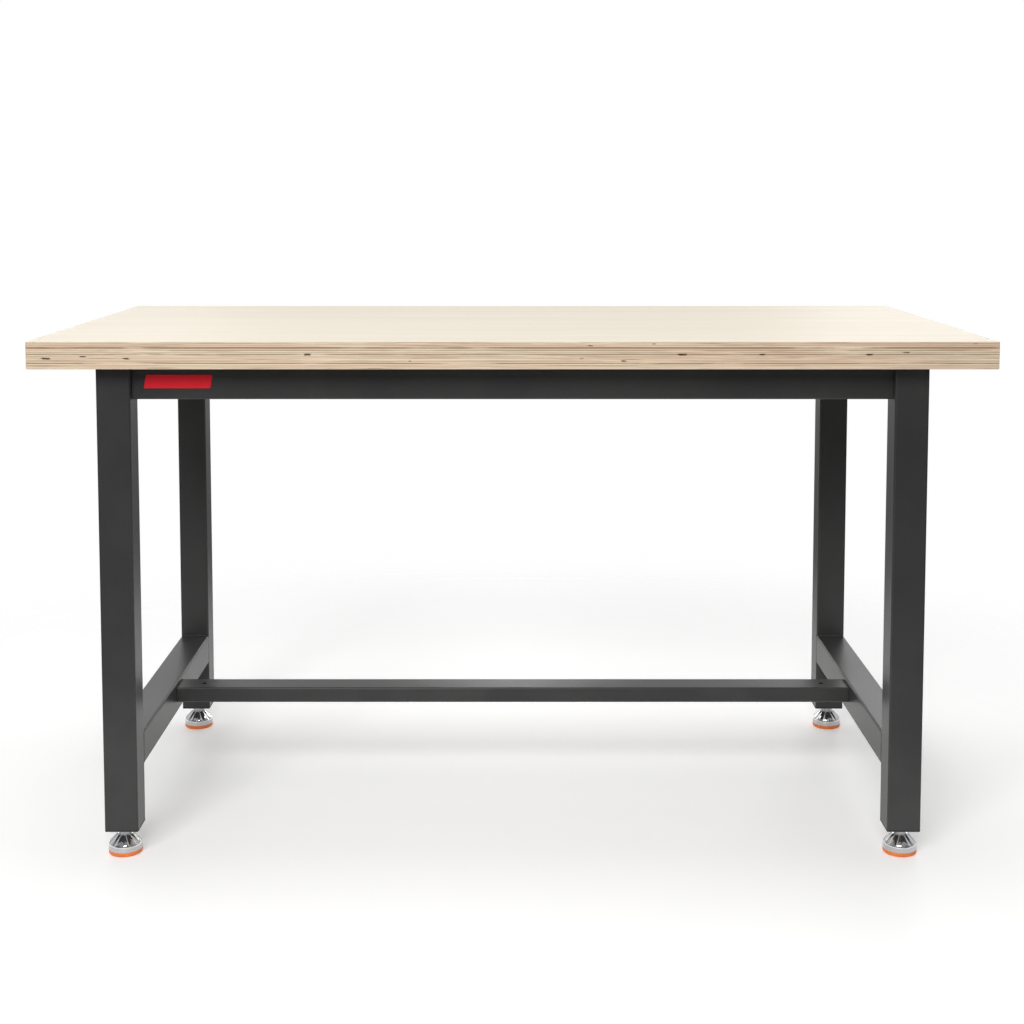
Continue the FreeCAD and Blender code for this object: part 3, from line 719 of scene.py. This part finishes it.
def collar_of(stud, top):
    """A merged copy of the stud's solid, cut off at the top of its collar and closed."""
    shape = bmesh.new()
    shape.from_mesh(nodes[stud].data)
    bmesh.ops.remove_doubles(shape, verts=shape.verts, dist=SAME_POINT)
    everything = shape.verts[:] + shape.edges[:] + shape.faces[:]
    bmesh.ops.bisect_plane(shape, geom=everything, clear_outer=True,
                           plane_co=(0, 0, top), plane_no=(0, 0, 1))
    rim = [edge for edge in shape.edges if edge.is_boundary]
    bmesh.ops.holes_fill(shape, edges=rim)
    return shape


for corner in CORNERS:
    stud = corner + "_levelling_stud"
    low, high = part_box(stud)
    collar_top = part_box(corner + "_lock_nut")[0].z
    middle = Vector(((low.x + high.x) / 2, (low.y + high.y) / 2, collar_top))
    thread = threading.run(bpy.data.meshes.new("start"), {
        "Centre": middle,
        "Radius": THREAD_RADIUS,
        "Pitch": PITCH,
        "Length": high.z - collar_top - PITCH,
        "Finish": zinc.material,
    })
    whole = collar_of(stud, collar_top + COLLAR_OVERLAP)
    whole.from_mesh(thread)
    whole.to_mesh(thread)
    whole.free()
    piece = add_piece(corner + "_threaded_stud", thread, corner + "_stud")
    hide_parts(stud)
    clear = [vertex.co - middle for vertex in thread.vertices if vertex.co.z > collar_top + CLEAR_OF_COLLAR]
    reach = max(offset.xy.length for offset in clear)
    print(piece.name, "reaches", round(reach * 1000, 2), "mm from its axis,", len(thread.polygons), "faces")

# %% [markdown]
# ## Enamelled plate
# A small red plate sits near the left end of the front apron. It is left plain. The plate is a thin
# stamped sheet with slanted ends, round corners, a softened front edge and a low rim, so it catches
# a line of light all round. It is drawn flat, its corners are rounded, and then it is pushed out and
# inset.

# %% Enamelled plate
PLATE_WIDE = 0.098
PLATE_HIGH = 0.020
PLATE_THICK = 0.0009
PLATE_CORNER = 0.0022
PLATE_SLANT = 0.0035
PLATE_EDGE = 0.0003
PLATE_RIM = 0.0011
PLATE_STEP = 0.0003
PLATE_SUNK = 0.0002
PLATE_FROM_END = 0.0682
PLATE_FROM_BELOW = 0.0265
apron_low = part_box("front_apron")[0]
plate_middle = apron_low + Vector((PLATE_FROM_END, 0, PLATE_FROM_BELOW))
plate_shape = bmesh.new()
ring = []
for x, z in ((-1, -1), (1, -1), (1, 1), (-1, 1)):
    corner_place = Vector((x * PLATE_WIDE + z * PLATE_SLANT, 0, z * PLATE_HIGH)) / 2
    ring.append(plate_shape.verts.new(plate_middle + corner_place))
plate_shape.faces.new(ring)
bmesh.ops.bevel(plate_shape, geom=plate_shape.verts[:], affect="VERTICES", offset=PLATE_CORNER,
                segments=10, profile=0.5)
pushed = bmesh.ops.extrude_face_region(plate_shape, geom=plate_shape.faces[:])
front = [item for item in pushed["geom"] if isinstance(item, bmesh.types.BMFace)]
for vertex in {vertex for face in front for vertex in face.verts}:
    vertex.co.y -= PLATE_THICK
front_rim = [edge for face in front for edge in face.edges]
bmesh.ops.bevel(plate_shape, geom=front_rim, affect="EDGES", offset=PLATE_EDGE, segments=3, profile=0.5)


def front_area(face):
    """The area of a face at the front of the plate, and nothing for the others."""
    proud = apron_low.y - face.calc_center_median().y
    return face.calc_area() if proud > PLATE_THICK * 0.9 else 0


field = max(plate_shape.faces, key=front_area)
bmesh.ops.inset_region(plate_shape, faces=[field], thickness=PLATE_RIM, depth=0)
bmesh.ops.inset_region(plate_shape, faces=[field], thickness=PLATE_STEP, depth=-PLATE_SUNK)
bmesh.ops.recalc_face_normals(plate_shape, faces=plate_shape.faces)
plate = add_piece("red_plate", mesh_of("plate", plate_shape, enamel), "frame")
print("plate:", round(PLATE_WIDE * 1000), "by", round(PLATE_HIGH * 1000), "mm,",
      len(plate.data.polygons), "faces")

# %% [markdown]
# ## Floor
# The bench stands on a pale studio floor that melts into the white of the room. A flat disc with a
# slightly uneven colour is enough. It thins out to nothing towards its rim, so that no far edge cuts
# across the picture, and it is lit a little from below, as a photographer's light table is, so that
# the shadows on it stay soft.

# %% Floor
FLOOR_SOLID = 0.8
FLOOR_RADIUS = 1.8
FLOOR_SIDES = 96
FLOOR_GLOW = 0.2
FLOOR_LIGHT = grey(0.90)
FLOOR_DARK = grey(0.86)
floor_finish = Finish("studio_floor")
worn = floor_finish.cloud(floor_finish.place, each_way(0.7), detail=4.0)
floor_colour = floor_finish.mix(worn, FLOOR_LIGHT, FLOOR_DARK)
floor_finish.surface(Base_Color=floor_colour, Roughness=0.55 + worn * 0.15)
from_middle = floor_finish.node("ShaderNodeVectorMath", {"operation": "LENGTH"},
                                {0: floor_finish.place}, output="Value")
floor_finish.surface(Alpha=1 - from_middle.between(FLOOR_SOLID, FLOOR_RADIUS))
floor_finish.surface(Emission_Color=grey(1.0), Emission_Strength=FLOOR_GLOW)
disc_shape = bmesh.new()
bmesh.ops.create_circle(disc_shape, cap_ends=True, radius=FLOOR_RADIUS, segments=FLOOR_SIDES)
floor = bpy.data.objects.new("studio_floor", mesh_of("studio_floor", disc_shape, floor_finish))
bpy.context.scene.collection.objects.link(floor)
print("floor reaches", FLOOR_RADIUS, "m")

# %% [markdown]
# ## Light
# Behind the bench is a bright wall, and the side where the camera stands is dim, so the tubes look
# dark from the front while their tops and inner sides catch the wall. The room does this by itself:
# its glow grows from front to back and is weak below the floor, and only the camera sees it as plain
# white. Soft boxes do the rest. A large one high at the front lights the board's edge and the legs,
# while the board's overhang shades the apron, and a wide one hangs above. Of three small ones
# behind, two light the tops of the lower rails, and the third draws a line along their inner edges.

# %% Room light
FRONT_GLOW = 0.14
BACK_GLOW = 0.68
LOW_GLOW = 0.12
WALL_BLEND = 0.6
HORIZON_LOW = -0.25
HORIZON_HIGH = 0.05
world = bpy.data.worlds.new("studio")
world.use_nodes = True
room = world.node_tree


def room_node(kind, inputs=None):
    made = room.nodes.new(kind)
    for name, value in (inputs or {}).items():
        if isinstance(value, bpy.types.NodeSocket):
            room.links.new(value, made.inputs[name])
        else:
            made.inputs[name].default_value = value
    return made.outputs


facing = room_node("ShaderNodeSeparateXYZ", {0: room_node("ShaderNodeTexCoord")["Generated"]})
wall = room_node("ShaderNodeMapRange", {
    "Value": facing["Y"],
    "From Min": -WALL_BLEND,
    "From Max": WALL_BLEND,
    "To Min": FRONT_GLOW,
    "To Max": BACK_GLOW,
})[0]
glow = room_node("ShaderNodeMapRange", {
    "Value": facing["Z"],
    "From Min": HORIZON_LOW,
    "From Max": HORIZON_HIGH,
    "To Min": LOW_GLOW,
    "To Max": wall,
})[0]
seen = room_node("ShaderNodeLightPath")["Is Camera Ray"]
shown = room_node("ShaderNodeMapRange", {"Value": seen, "To Min": glow, "To Max": 1.0})[0]
room.nodes["Background"].inputs["Color"].default_value = grey(1.0)
room.links.new(shown, room.nodes["Background"].inputs["Strength"])
bpy.context.scene.world = world
bpy.context.scene.view_settings.view_transform = "Standard"
print("room glow:", FRONT_GLOW, "at the front and", BACK_GLOW, "behind")

# %% Soft boxes
BENCH_MIDDLE = (0.0, 0.0, 0.4)
RAIL_MIDDLE = (0.0, 0.0, 0.2)


def soft_box(name, place, aim, size, power):
    """A rectangular lamp that faces a point."""
    lamp = bpy.data.lights.new(name, "AREA")
    lamp.shape = "RECTANGLE"
    lamp.size, lamp.size_y = size
    lamp.energy = power
    box = bpy.data.objects.new(name, lamp)
    box.location = place
    box.rotation_euler = (Vector(aim) - Vector(place)).to_track_quat("-Z", "Y").to_euler()
    bpy.context.scene.collection.objects.link(box)
    print(name, power, "W")


soft_box("overhead_box", place=(0.0, 0.2, 2.8), aim=BENCH_MIDDLE, size=(2.8, 1.6), power=25.0)
soft_box("front_box", place=(-0.8, -3.4, 2.6), aim=BENCH_MIDDLE, size=(2.4, 1.6), power=120.0)
soft_box("rear_left_box", place=(-1.5, 3.3, 1.75), aim=BENCH_MIDDLE, size=(0.9, 0.9), power=4.0)
soft_box("rear_right_box", place=(1.5, 3.3, 1.75), aim=BENCH_MIDDLE, size=(0.9, 0.9), power=7.5)
soft_box("rear_low_box", place=(0.0, 3.3, 0.6), aim=RAIL_MIDDLE, size=(0.5, 0.3), power=4.0)
